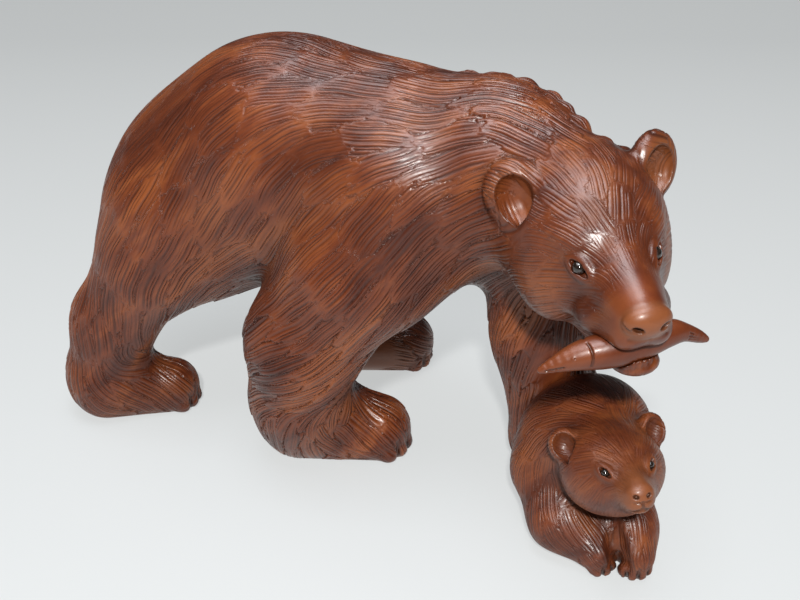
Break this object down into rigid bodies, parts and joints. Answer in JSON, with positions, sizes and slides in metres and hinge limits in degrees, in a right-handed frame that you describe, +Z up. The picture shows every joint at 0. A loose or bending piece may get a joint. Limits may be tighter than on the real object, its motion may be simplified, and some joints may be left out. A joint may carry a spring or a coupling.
{
  "type": "carved wooden figurine",
  "caption": "Carved and varnished wooden figurine of a walking bear with its head turned, a fish held across its mouth and a cub crouching against its foreleg; it stands free on its feet.",
  "frame": {"origin": "middle of the bounding box on the surface the feet stand on", "axes": "+X along the mother's body from rump to head, +Y to her left, +Z up"},
  "size_m": [0.2836, 0.1506, 0.1799],
  "materials": {
    "carved_fur": "varnished, carved all over with fine gouge lines",
    "carved_cub": "varnished, carved all over with fine gouge lines",
    "smooth_wood": "varnished smooth, paler",
    "eye_glass": "dark polished bead",
    "dowel_wood": "bare"
  },
  "bodies": {
    "root": {"mother_bear": "carved_fur", "cub_bear": "carved_cub", "salmon": "smooth_wood", "mother_eye_left": "eye_glass", "mother_eye_right": "eye_glass", "cub_eye_left": "eye_glass", "cub_eye_right": "eye_glass", "cub_peg_upper": "dowel_wood", "cub_peg_lower": "dowel_wood", "salmon_peg": "dowel_wood"}
  },
  "joints": []
}
